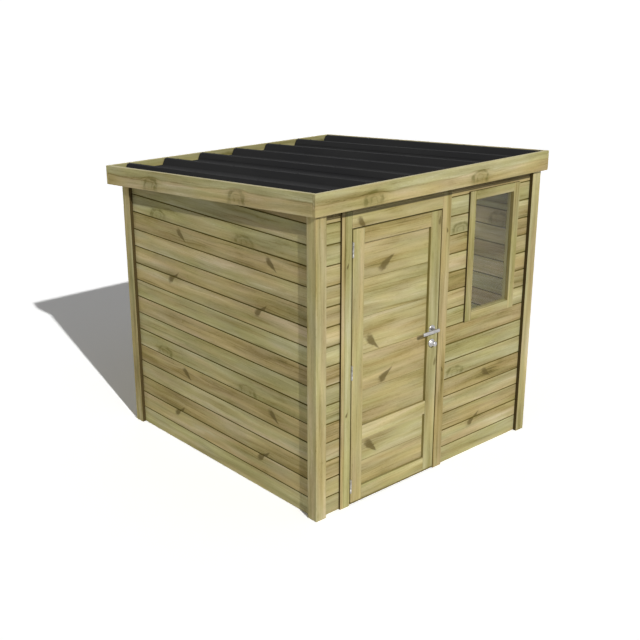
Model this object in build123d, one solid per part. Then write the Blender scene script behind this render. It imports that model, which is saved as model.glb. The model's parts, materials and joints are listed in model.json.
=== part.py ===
import os
from math import atan2, cos, sin, tan

from build123d import *

# Overall sizes, in millimetres
width = 2190.0  # over the outer faces of the corner posts
depth = 2190.0
front_height = 2205.0  # top of the fascia above the front faces of the posts
roof_drop = 148.0  # from the front faces to the back faces of the posts

# Fits
seat_gap = 0.3  # room around a piece that sits in a groove
overrun = 5.0  # length by which a cutting shape passes the face that it cuts

# Corner posts and wall boards
post_size = 88.0
post_round = 4.0
board_thickness = 28.0
groove_depth = 15.0

# Boards around the roof edge
fascia_thickness = 28.0
fascia_height = 143.0
side_overhang = 34.0
front_overhang = 35.0
back_overhang = 160.0

# Timbers under the roof
plate_thickness = 24.0
purlin_height = 56.0
purlin_width = 44.0
middle_purlins = 2

# Ribbed roof sheets
sheet_thickness = 1.5
crest_drop = 3.0  # crests lie this far below the top of the fascia
rib_height = 50.0
rib_crest = 34.0
rib_run = 24.0  # width of each slanting side of a rib
first_rib = 145.0  # middle of the first rib, from the outer face of the left posts
last_rib = 11.0  # middle of the last rib, from the outer face of the right posts
rib_count = 7
ribs_per_sheet = 3
lap_lip = 14.0  # height above the valley at which a lapped side stops
sheet_side_gap = 2.0
sheet_front_gap = 3.0
sheet_drip_gap = 15.0  # slot along the back fascia that lets rain run off

# Door frame
frame_left = 226.0  # outer edge of the left jamb, from the outer face of the left post
jamb_width = 86.0
frame_setback = 13.0  # front of the frame behind the front faces of the posts
frame_depth = 62.0
stop_width = 20.0
threshold_height = 14.0
threshold_setback = 12.0  # behind the front of the frame
header_height = 137.0  # from the opening up to the wall plate, at the front faces of the posts

# Door leaf
leaf_width = 818.0
leaf_thickness = 44.0
leaf_side_gap = 9.0
leaf_foot_gap = 6.0
leaf_stop_gap = 6.0
leaf_member = 100.0  # face width of the stiles and rails
middle_rail_top = 546.0  # above the foot of the leaf
panel_thickness = 18.0
panel_recess = 22.0
panel_groove = 12.0

# Hinges
hinge_height = 100.0
hinge_inset = 128.0  # from each end of the leaf to the middle of the nearest hinge
hinge_plate_depth = 30.0  # from the front edge of each plate to its back edge
hinge_plate_thickness = 2.0
knuckle_radius = 6.0
knuckle_gap = 0.5
knuckle_share = 0.34  # part of the hinge height that the door's knuckle takes
pin_radius = 3.0
pin_clearance = 0.08

# Lever and lock
lever_height = 1077.0  # spindle above the foot of the leaf
lever_backset = 62.0  # spindle from the closing edge of the leaf
lever_length = 162.0
lever_heel = 24.0  # length of the bar past the spindle, toward the closing edge
lever_bar_height = 24.0
lever_bar_thickness = 10.0
lever_bar_round = 5.0  # corners of the bar, seen from the front
lever_bar_bevel = 1.5
lever_reach = 58.0  # front of the bar from the face of the leaf
neck_radius = 9.0
neck_clearance = 0.3
spindle_size = 8.0
spindle_hole_radius = 7.0
rosette_radius = 29.0
rosette_thickness = 9.0
rosette_bevel = 2.5
lock_spacing = 102.0  # lock below the spindle
knob_radius = 18.0
knob_length = 34.0
knob_bevel = 3.0

# Window
field_width = 196.0  # boards between the door frame and the window
window_side = 214.0  # outer edge of the window, from the outer face of the right post
window_bottom = 1060.0
window_head = 66.0  # boards from the window up to the wall plate, at the front faces of the posts
window_stile = 65.0
window_rail = 63.0
window_setback = 15.0  # front of the frame behind the front faces of the posts
window_depth = 58.0
glass_thickness = 4.0
glass_setback = 30.0  # behind the front of the window frame
glass_groove = 10.0

# Reference planes: the ground under the middle of the whole outline is the origin
lever_front = lever_reach - frame_setback
front_reach = max(front_overhang, lever_front)
front_y = (front_reach - depth - back_overhang) / 2
back_y = front_y + depth
left_x = -width / 2
right_x = width / 2
slope_share = roof_drop / depth

# Levels below the sloping line along the top of the fascia
sheet_drop = crest_drop + rib_height
purlin_drop = sheet_drop + purlin_height
plate_drop = purlin_drop + plate_thickness
rib_pitch = (width - first_rib - last_rib) / (rib_count - 1)

# Middle planes of the walls, and the faces inside the fascia
wall_inset = post_size / 2
front_wall_y = front_y + wall_inset
back_wall_y = back_y - wall_inset
inner_front_y = front_y - front_overhang + fascia_thickness
inner_back_y = back_y + back_overhang - fascia_thickness
inner_left_x = left_x - side_overhang + fascia_thickness
inner_right_x = right_x + side_overhang - fascia_thickness

# Edges of the door and its frame
frame_y = front_y + frame_setback
frame_back_y = frame_y + frame_depth
opening_left_x = left_x + frame_left + jamb_width
leaf_left_x = opening_left_x + leaf_side_gap
leaf_right_x = leaf_left_x + leaf_width
opening_right_x = leaf_right_x + leaf_side_gap
frame_left_x = opening_left_x - jamb_width
frame_right_x = opening_right_x + jamb_width
leaf_back_y = frame_y + leaf_thickness
stop_y = leaf_back_y + leaf_stop_gap
leaf_bottom_z = threshold_height + leaf_foot_gap
opening_top_z = front_height - plate_drop - header_height
leaf_top_z = opening_top_z - leaf_side_gap

# Edges of the window
window_left_x = frame_right_x + field_width
window_right_x = right_x - window_side
window_top_z = front_height - plate_drop - window_head
window_y = front_y + window_setback
window_back_y = window_y + window_depth


def roof_line(y):
    return front_height - slope_share * (y - front_y)


def block(x, y, z):
    size = (x[1] - x[0], y[1] - y[0], z[1] - z[0])
    middle = ((x[0] + x[1]) / 2, (y[0] + y[1]) / 2, (z[0] + z[1]) / 2)
    return Pos(*middle) * Box(*size)


def side_profile(x, points):
    face = make_face(Polyline(*points, close=True))
    return extrude(Plane.YZ.offset(x[0]) * face, x[1] - x[0])


def under_roof(x, y, foot, drop):
    # Upright piece with a level foot and a top that follows the roof
    points = [(y[0], foot), (y[1], foot), (y[1], roof_line(y[1]) - drop), (y[0], roof_line(y[0]) - drop)]
    return side_profile(x, points)


def along_roof(x, y, drop):
    # Piece whose top and underside both follow the roof
    upper = [(y[0], roof_line(y[0]) - drop[0]), (y[1], roof_line(y[1]) - drop[0])]
    lower = [(y[1], roof_line(y[1]) - drop[1]), (y[0], roof_line(y[0]) - drop[1])]
    return side_profile(x, upper + lower)


def rod(x, z, y, radius):
    return Pos(x, (y[0] + y[1]) / 2, z) * Rot(X=90) * Cylinder(radius, y[1] - y[0])


def around(middle, thickness, gap=0):
    return (middle - thickness / 2 - gap, middle + thickness / 2 + gap)


def corner_post(x_side, y_side):
    outer_x = x_side * width / 2
    outer_y = front_y if y_side < 0 else back_y
    x = sorted((outer_x, outer_x - x_side * post_size))
    y = sorted((outer_y, outer_y - y_side * post_size))
    post = under_roof(x, y, 0, plate_drop)
    post = fillet(post.edges().filter_by(Axis.Z), post_round)
    top = (-overrun, front_height)
    inner_x = outer_x - x_side * post_size
    inner_y = outer_y - y_side * post_size
    cut_x = sorted((inner_x + x_side * groove_depth, inner_x - x_side * overrun))
    cut_y = sorted((inner_y + y_side * groove_depth, inner_y - y_side * overrun))
    slot_x = around(outer_x - x_side * wall_inset, board_thickness, seat_gap)
    slot_y = around(outer_y - y_side * wall_inset, board_thickness, seat_gap)
    post -= block(cut_x, slot_y, top)
    post -= block(slot_x, cut_y, top)
    return post


def walls():
    reach = post_size - groove_depth + seat_gap
    sides = (front_y + reach, back_y - reach)
    ends = (left_x + reach, right_x - reach)
    front = around(front_wall_y, board_thickness)
    back = around(back_wall_y, board_thickness)
    tuck = groove_depth - seat_gap
    left_end = frame_left_x + tuck
    middle = (frame_right_x - tuck, window_left_x + tuck)
    beside = window_right_x - tuck
    low = window_bottom + tuck
    high = window_top_z - tuck
    return {
        "left_wall": under_roof(around(left_x + wall_inset, board_thickness), sides, 0, plate_drop),
        "right_wall": under_roof(around(right_x - wall_inset, board_thickness), sides, 0, plate_drop),
        "back_wall": under_roof(ends, back, 0, plate_drop),
        "front_wall_left": under_roof((ends[0], left_end), front, 0, plate_drop),
        "front_wall_middle": under_roof(middle, front, 0, plate_drop),
        "front_wall_under_window": block((middle[1], beside), front, (0, low)),
        "front_wall_over_window": under_roof((middle[1], beside), front, high, plate_drop),
        "front_wall_right": under_roof((beside, ends[1]), front, 0, plate_drop),
    }


def roof_timbers():
    long = (inner_front_y, inner_back_y)
    between = (left_x + post_size, right_x - post_size)
    drops = (purlin_drop, plate_drop)
    side_plates = [
        along_roof((left_x, left_x + post_size), long, drops),
        along_roof((right_x - post_size, right_x), long, drops),
    ]
    cross_plates = [
        along_roof(between, (front_y, front_y + post_size), drops),
        along_roof(between, (back_y - post_size, back_y), drops),
    ]
    first = inner_front_y + purlin_width / 2
    last = back_wall_y
    step = (last - first) / (middle_purlins + 1)
    places = [first + step * index for index in range(middle_purlins + 2)]
    places.append(inner_back_y - purlin_width / 2)
    across = (inner_left_x, inner_right_x)
    purlins = [along_roof(across, around(place, purlin_width), (sheet_drop, purlin_drop)) for place in places]
    return {
        "side_wall_plates": Compound(children=side_plates),
        "cross_wall_plates": Compound(children=cross_plates),
        "roof_purlins": Compound(children=purlins),
    }


def fascias():
    across = (left_x - side_overhang, right_x + side_overhang)
    between = (inner_front_y, inner_back_y)
    drops = (0, fascia_height)
    return {
        "fascia_front": along_roof(across, (inner_front_y - fascia_thickness, inner_front_y), drops),
        "fascia_back": along_roof(across, (inner_back_y, inner_back_y + fascia_thickness), drops),
        "fascia_left": along_roof((across[0], inner_left_x), between, drops),
        "fascia_right": along_roof((inner_right_x, across[1]), between, drops),
    }


def sheet_outline(first, last, opens_with_lap, closes_with_lap):
    # Section of one sheet, as its upper line and its lower line, with the valley's top at height zero
    rise = rib_height - sheet_thickness
    angle = atan2(rise, rib_run)
    lean = rib_run / rise
    mitre = sheet_thickness * tan(angle / 2)
    thick_x = sheet_thickness * sin(angle)
    thick_z = sheet_thickness * cos(angle)
    lift = sheet_thickness + seat_gap
    half = rib_crest / 2
    upper = []
    lower = []
    if not opens_with_lap:
        edge = inner_left_x + sheet_side_gap
        upper.append((edge, 0))
        lower.append((edge, -sheet_thickness))
    for number in range(first, last + 1):
        middle = left_x + first_rib + rib_pitch * number
        over = opens_with_lap and number == first
        under = closes_with_lap and number == last
        trimmed = number == rib_count - 1
        raised = lift if over else 0
        wider = lift / sin(angle) if over else 0
        crest = half + raised * tan(angle / 2)
        foot = half + rib_run + wider
        top = rise + raised
        if over:
            start = middle - foot + lap_lip * lean
            upper.append((start, lap_lip))
            lower.append((start + thick_x, lap_lip - thick_z))
        else:
            upper.append((middle - foot, 0))
            lower.append((middle - foot + mitre, -sheet_thickness))
        upper.append((middle - crest, top))
        lower.append((middle - crest + mitre, top - sheet_thickness))
        if trimmed:
            edge = min(middle + crest, inner_right_x - sheet_side_gap)
            upper.append((edge, top))
            lower.append((edge, top - sheet_thickness))
            continue
        upper.append((middle + crest, top))
        lower.append((middle + crest - mitre, top - sheet_thickness))
        if under:
            end = middle + foot - lap_lip * lean
            upper.append((end, lap_lip))
            lower.append((end - thick_x, lap_lip - thick_z))
        else:
            upper.append((middle + foot, 0))
            lower.append((middle + foot - mitre, -sheet_thickness))
    return upper + lower[::-1]


def roof_sheets():
    start_y = inner_front_y + sheet_front_gap
    end_y = inner_back_y - sheet_drip_gap
    valley = roof_line(start_y) - sheet_drop + sheet_thickness
    run = Vector(0, 1, -slope_share)
    length = (end_y - start_y) * run.length
    names = ("roof_sheet_left", "roof_sheet_middle", "roof_sheet_right")
    pieces = {}
    for index, name in enumerate(names):
        first = max(index * ribs_per_sheet - 1, 0)
        last = min((index + 1) * ribs_per_sheet - 1, rib_count - 1)
        outline = sheet_outline(first, last, index > 0, last < rib_count - 1)
        points = [(x, start_y, valley + z) for x, z in outline]
        face = make_face(Polyline(*points, close=True))
        pieces[name] = extrude(face, length, dir=run)
    return pieces


def door_jamb(side):
    # The left jamb is worked out, and the right one is its mirror about the middle of the opening
    slot = around(front_wall_y, board_thickness, seat_gap)
    jamb = under_roof((frame_left_x, opening_left_x), (frame_y, frame_back_y), 0, plate_drop)
    jamb -= block((frame_left_x - overrun, frame_left_x + groove_depth), slot, (-overrun, front_height))
    stop = under_roof((opening_left_x, opening_left_x + stop_width), (stop_y, frame_back_y), 0, plate_drop)
    jamb += stop
    if side > 0:
        middle = (opening_left_x + opening_right_x) / 2
        jamb = mirror(jamb, Plane.YZ.offset(middle))
    return jamb


def door_frame():
    across = (opening_left_x, opening_right_x)
    clear = (opening_left_x + stop_width, opening_right_x - stop_width)
    header = under_roof(across, (frame_y, stop_y), opening_top_z, plate_drop)
    header += under_roof(clear, (stop_y, frame_back_y), opening_top_z - stop_width, plate_drop)
    threshold = block(across, (frame_y + threshold_setback, stop_y), (0, threshold_height))
    threshold += block(clear, (stop_y, frame_back_y), (0, threshold_height))
    return {
        "door_jamb_left": door_jamb(-1),
        "door_jamb_right": door_jamb(1),
        "door_header": header,
        "door_threshold": threshold,
    }


def door_leaf():
    thick = (frame_y, leaf_back_y)
    panel_y = frame_y + panel_recess + panel_thickness / 2
    slot = around(panel_y, panel_thickness, seat_gap)
    inner = (leaf_left_x + leaf_member, leaf_right_x - leaf_member)
    tall = (leaf_bottom_z, leaf_top_z)
    middle_top = leaf_bottom_z + middle_rail_top
    levels = {
        "door_rail_bottom": (leaf_bottom_z, leaf_bottom_z + leaf_member),
        "door_rail_middle": (middle_top - leaf_member, middle_top),
        "door_rail_top": (leaf_top_z - leaf_member, leaf_top_z),
    }
    bottom, middle, top = levels.values()
    openings = {"door_panel_bottom": (bottom[1], middle[0]), "door_panel_top": (middle[1], top[0])}
    grown = (inner[0] - panel_groove, inner[1] + panel_groove)
    stiles = {
        "door_stile_left": block((leaf_left_x, inner[0]), thick, tall),
        "door_stile_right": block((inner[1], leaf_right_x), thick, tall),
    }
    rails = {name: block(inner, thick, level) for name, level in levels.items()}
    pieces = stiles | rails
    tuck = panel_groove - seat_gap
    for name, (low, high) in openings.items():
        room = block(grown, slot, (low - panel_groove, high + panel_groove))
        for member in pieces:
            pieces[member] -= room
        pieces[name] = block(
            (inner[0] - tuck, inner[1] + tuck), around(panel_y, panel_thickness), (low - tuck, high + tuck)
        )
    hole = rod(spindle_x, spindle_z, (frame_y - overrun, leaf_back_y + overrun), spindle_hole_radius)
    pieces["door_stile_right"] -= hole
    return pieces


spindle_x = leaf_right_x - lever_backset
spindle_z = leaf_bottom_z + lever_height
lock_z = spindle_z - lock_spacing
hinge_x = (opening_left_x + leaf_left_x) / 2
hinge_y = frame_y - knuckle_radius
hinge_plate_x = (leaf_left_x - hinge_plate_thickness, leaf_left_x)
hinge_plate_y = (frame_y + knuckle_gap, frame_y + knuckle_gap + hinge_plate_depth)
hinge_levels = (
    leaf_bottom_z + hinge_inset,
    (leaf_bottom_z + leaf_top_z) / 2,
    leaf_top_z - hinge_inset,
)


def knuckle(z, bored):
    middle = Pos(hinge_x, hinge_y, (z[0] + z[1]) / 2)
    barrel = middle * Cylinder(knuckle_radius, z[1] - z[0])
    barrel += block(hinge_plate_x, (hinge_y, hinge_plate_y[0]), z)
    if bored:
        barrel -= middle * Cylinder(pin_radius + pin_clearance, hinge_height)
    return barrel


def hinge_leaf(z, knuckles, bored, side):
    # The plate on the edge of the door is worked out, and the jamb's plate is its mirror about the pin
    leaf = block(hinge_plate_x, hinge_plate_y, z)
    for span in knuckles:
        leaf += knuckle(span, bored)
    if side < 0:
        leaf = mirror(leaf, Plane.YZ.offset(hinge_x))
    return leaf


def hinges():
    frame_leaves = []
    door_leaves = []
    for level in hinge_levels:
        z = around(level, hinge_height)
        inner = around(level, hinge_height * knuckle_share)
        outer = [(z[0], inner[0] - knuckle_gap), (inner[1] + knuckle_gap, z[1])]
        frame_leaf = hinge_leaf(z, outer, False, -1)
        frame_leaf += Pos(hinge_x, hinge_y, level) * Cylinder(pin_radius, hinge_height)
        frame_leaves.append(frame_leaf)
        door_leaves.append(hinge_leaf(z, [inner], True, 1))
    return {
        "hinge_frame_leaves": Compound(children=frame_leaves),
        "hinge_door_leaves": Compound(children=door_leaves),
    }


def rosette(z, outward, bore):
    # Round plate on one face of the leaf; outward is -1 in front and 1 behind
    face = frame_y if outward < 0 else leaf_back_y
    y = sorted((face, face + outward * rosette_thickness))
    plate = rod(spindle_x, z, y, rosette_radius)
    rim = plate.edges().filter_by(GeomType.CIRCLE).sort_by(Axis.Y)
    plate = chamfer(rim[0] if outward < 0 else rim[-1], rosette_bevel)
    if bore:
        plate -= rod(spindle_x, z, (y[0] - overrun, y[1] + overrun), neck_radius + neck_clearance)
    return plate


def lock_plate(outward):
    plate = rosette(lock_z, outward, False)
    face = frame_y if outward < 0 else leaf_back_y
    y = sorted((face + outward * rosette_thickness / 2, face + outward * (rosette_thickness + knob_length)))
    knob = rod(spindle_x, lock_z, y, knob_radius)
    rim = knob.edges().filter_by(GeomType.CIRCLE).sort_by(Axis.Y)
    knob = chamfer(rim[0] if outward < 0 else rim[-1], knob_bevel)
    return plate + knob


def lever_handle(outward):
    face = frame_y if outward < 0 else leaf_back_y
    front = face + outward * lever_reach
    bar_y = sorted((front, front - outward * lever_bar_thickness))
    middle_x = spindle_x + lever_heel - lever_length / 2
    bar_shape = RectangleRounded(lever_length, lever_bar_height, lever_bar_round)
    bar = extrude(Plane.XZ.offset(-bar_y[1]) * Pos(middle_x, spindle_z) * bar_shape, lever_bar_thickness)
    bar = chamfer(bar.edges().filter_by(Plane.XZ), lever_bar_bevel)
    neck_y = sorted((face + outward * seat_gap, front - outward * lever_bar_thickness / 2))
    return bar + rod(spindle_x, spindle_z, neck_y, neck_radius)


def lever_set():
    spindle = block(
        around(spindle_x, spindle_size),
        (frame_y - seat_gap, leaf_back_y + seat_gap),
        around(spindle_z, spindle_size),
    )
    return {
        "lever_rosettes": Compound(children=[rosette(spindle_z, side, True) for side in (-1, 1)]),
        "lock_rosettes": Compound(children=[lock_plate(side) for side in (-1, 1)]),
        "lever_outside": lever_handle(-1),
        "lever_inside": lever_handle(1),
        "lever_spindle": spindle,
    }


def window_member(x, z):
    return block(x, (window_y, window_back_y), z)


def window():
    board_slot = around(front_wall_y, board_thickness, seat_gap)
    glass_y = window_y + glass_setback
    glass_slot = around(glass_y, glass_thickness, seat_gap)
    inner_x = (window_left_x + window_stile, window_right_x - window_stile)
    inner_z = (window_bottom + window_rail, window_top_z - window_rail)
    tall = (window_bottom, window_top_z)
    pieces = {
        "window_stile_left": window_member((window_left_x, inner_x[0]), tall),
        "window_stile_right": window_member((inner_x[1], window_right_x), tall),
        "window_rail_bottom": window_member(inner_x, (window_bottom, inner_z[0])),
        "window_rail_top": window_member(inner_x, (inner_z[1], window_top_z)),
    }
    past_x = (window_left_x - overrun, window_right_x + overrun)
    past_z = (window_bottom - overrun, window_top_z + overrun)
    kept_x = (window_left_x + groove_depth, window_right_x - groove_depth)
    kept_z = (window_bottom + groove_depth, window_top_z - groove_depth)
    board_room = block(past_x, board_slot, past_z) - block(kept_x, board_slot, kept_z)
    glass_x = (inner_x[0] - glass_groove, inner_x[1] + glass_groove)
    glass_z = (inner_z[0] - glass_groove, inner_z[1] + glass_groove)
    glass_room = block(glass_x, glass_slot, glass_z)
    for name in pieces:
        pieces[name] -= board_room
        pieces[name] -= glass_room
    pane_x = (glass_x[0] + seat_gap, glass_x[1] - seat_gap)
    pane_z = (glass_z[0] + seat_gap, glass_z[1] - seat_gap)
    pieces["window_glass"] = block(pane_x, around(glass_y, glass_thickness), pane_z)
    return pieces


def shed():
    pieces = {
        "corner_post_front_left": corner_post(-1, -1),
        "corner_post_front_right": corner_post(1, -1),
        "corner_post_back_left": corner_post(-1, 1),
        "corner_post_back_right": corner_post(1, 1),
    }
    groups = (walls, roof_timbers, fascias, roof_sheets, door_frame, window, door_leaf, hinges, lever_set)
    for group in groups:
        pieces |= group()
    return pieces


os.makedirs("parts", exist_ok=True)
for name, piece in shed().items():
    export_step(piece, f"parts/{name}.step")
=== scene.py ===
import json
import math

import bmesh
import bpy
from mathutils import Matrix, Vector

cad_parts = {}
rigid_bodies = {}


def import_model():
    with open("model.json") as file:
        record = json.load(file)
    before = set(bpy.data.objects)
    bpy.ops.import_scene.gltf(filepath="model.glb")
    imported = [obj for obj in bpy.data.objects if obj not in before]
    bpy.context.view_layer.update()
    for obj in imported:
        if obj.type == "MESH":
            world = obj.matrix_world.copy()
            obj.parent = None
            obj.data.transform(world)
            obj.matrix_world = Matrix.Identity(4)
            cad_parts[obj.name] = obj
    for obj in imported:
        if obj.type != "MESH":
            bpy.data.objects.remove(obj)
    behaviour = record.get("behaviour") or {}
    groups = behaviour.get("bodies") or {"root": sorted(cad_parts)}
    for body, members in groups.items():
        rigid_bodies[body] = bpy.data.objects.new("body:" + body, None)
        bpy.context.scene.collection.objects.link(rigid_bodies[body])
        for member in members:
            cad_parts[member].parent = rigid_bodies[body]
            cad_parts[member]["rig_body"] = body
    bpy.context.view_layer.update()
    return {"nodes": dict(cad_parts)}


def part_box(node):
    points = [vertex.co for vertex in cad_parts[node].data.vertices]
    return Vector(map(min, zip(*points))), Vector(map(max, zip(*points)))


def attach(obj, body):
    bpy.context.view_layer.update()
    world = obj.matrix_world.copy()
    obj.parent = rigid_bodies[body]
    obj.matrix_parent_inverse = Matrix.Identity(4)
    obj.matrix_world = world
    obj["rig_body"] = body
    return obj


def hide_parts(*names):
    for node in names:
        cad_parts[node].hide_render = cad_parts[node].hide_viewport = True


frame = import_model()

scene = bpy.context.scene
cadNodes = frame["nodes"]
print("shed: frame loaded,", len(cadNodes), "nodes")


# Small helpers

def screenColour(red, green, blue):  # 0-255 as seen on screen, to the linear colour that shaders take
    def toLinear(value):
        share = value / 255
        return share / 12.92 if share <= 0.04045 else ((share + 0.055) / 1.055) ** 2.4
    return (toLinear(red), toLinear(green), toLinear(blue), 1.0)


def feed(tree, inputs, values):  # a socket is linked, anything else is set
    for key, value in values.items():
        if isinstance(value, bpy.types.NodeSocket):
            tree.links.new(value, inputs[key])
        else:
            inputs[key].default_value = value


def addNode(tree, kind, values=None, **settings):
    made = tree.nodes.new(kind)
    for name, value in settings.items():
        setattr(made, name, value)
    feed(tree, made.inputs, values or {})
    return made.outputs


def sumUp(tree, operation, *values):
    return addNode(tree, "ShaderNodeMath", dict(enumerate(values)), operation=operation)[0]


def vectorSum(tree, operation, first, second):
    return addNode(tree, "ShaderNodeVectorMath", {0: first, 1: second}, operation=operation)[0]


def splitUp(tree, vector):
    return addNode(tree, "ShaderNodeSeparateXYZ", {0: vector})


def joinUp(tree, x=0.0, y=0.0, z=0.0):
    return addNode(tree, "ShaderNodeCombineXYZ", {0: x, 1: y, 2: z})[0]


def scaleUp(tree, vector, share):
    return addNode(tree, "ShaderNodeVectorMath", {0: vector, 3: share}, operation="SCALE")[0]


def ramp(tree, value, low, high, start=0.0, end=1.0):
    values = {0: value, 1: low, 2: high, 3: start, 4: end}
    return addNode(tree, "ShaderNodeMapRange", values, interpolation_type="SMOOTHSTEP")[0]


def blendColour(tree, share, first, second, way="MIX"):
    values = {0: share, 6: first, 7: second}
    return addNode(tree, "ShaderNodeMix", values, data_type="RGBA", blend_type=way)[2]


def noise(tree, place, stretch, detail=2.0, roughness=0.5):
    place = vectorSum(tree, "MULTIPLY", place, stretch)
    values = {"Vector": place, "Scale": 1.0, "Detail": detail, "Roughness": roughness}
    return addNode(tree, "ShaderNodeTexNoise", values)[0]


def sockets(tree, ins, outs):
    for name, kind, value in ins:
        socket = tree.interface.new_socket(name=name, in_out="INPUT", socket_type=kind)
        if value is not None:
            socket.default_value = value
    for name, kind in outs:
        tree.interface.new_socket(name=name, in_out="OUTPUT", socket_type=kind)
    return tree.nodes.new("NodeGroupInput").outputs, tree.nodes.new("NodeGroupOutput").inputs


def newMaterial(name):
    material = bpy.data.materials.new(name)
    material.use_nodes = True
    return material, material.node_tree, material.node_tree.nodes["Principled BSDF"].inputs


def objectPlace(tree):
    return addNode(tree, "ShaderNodeTexCoord")["Object"]


def relief(tree, strength, depth, height):
    return addNode(tree, "ShaderNodeBump", {"Strength": strength, "Distance": depth, "Height": height})[0]


# Treated pine: one figure of grain, streaks and knots for every timber

pine = {
    "tones": (  # place on the scale from the darkest streak to the palest wood
        (0.0, screenColour(96, 86, 42)),
        (0.27, screenColour(146, 134, 82)),
        (0.52, screenColour(172, 160, 110)),
        (0.75, screenColour(188, 177, 128)),
        (1.0, screenColour(207, 197, 153)),
    ),
    "green": (0.945, 1.012, 1.0, 1.0),  # sapwood, which takes up the treatment
    "tan": (1.055, 0.975, 0.985, 1.0),  # heartwood
    "yellow": (1.02, 1.005, 0.91, 1.0),  # patches of resin
    "grey": (0.995, 0.985, 1.07, 1.0),  # and of weathered wood
    "knot": screenColour(98, 84, 44),
    "burr": screenColour(98, 93, 36),
    "paintedShadeColour": screenColour(110, 98, 36),  # painted shade down in the joints and in the gaps between pieces
    "gap": screenColour(74, 62, 32),  # painted shade: dark slots painted on the sides of posts and frames beside the boards
    "level": 0.62,
    "knotSpacing": 1.014,  # metres between knots along one board
    "knotLong": 0.063,
    "knotWide": 0.028,
    "burrReach": 0.048,
    "ringWidth": 0.0062,
    "haloLong": 0.2,  # reach of the dark wood round a knot
    "haloWide": 0.062,
    "stretch": {  # how often each noise turns in a metre along, across and into the timber
        "drift": (1.2, 6.0, 6.0),
        "broad": (1.1, 9.0, 9.0),
        "bands": (1.5, 24.0, 24.0),
        "streaks": (1.8, 96.0, 96.0),
        "smudges": (4.6, 19.0, 19.0),
        "flecks": (42.0, 150.0, 150.0),
        "fibre": (11.0, 380.0, 380.0),
        "hue": (1.5, 12.0, 12.0),
        "cast": (2.4, 11.0, 11.0),
        "wave": (2.6, 3.0, 3.0),
        "ragged": (30.0, 55.0, 55.0),
        "swirl": (14.0, 22.0, 22.0),
        "strokes": (16.0, 26.0, 26.0),
    },
    "apart": {  # shifts, so that no two read the same part of a noise
        "timbers": (31.7, 9.1, 5.3),
        "hue": (7.7, 3.3, 1.1),
        "cast": (2.9, 6.1, 4.7),
    },
    "darkening": {  # how far each mark goes down the scale of tones
        "lateWood": 0.09,
        "streaks": 0.17,
        "smudges": 0.12,
        "halo": 0.1,
        "heartEdge": 0.2,
        "flecks": 0.16,
        "paleFlecks": -0.1,
    },
    "burrStrength": 0.72,
    "knotStrength": 0.82,
    "gloss": 0.2,
    "reliefStrength": 0.35,
    "reliefDepth": 0.0012,
}


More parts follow.
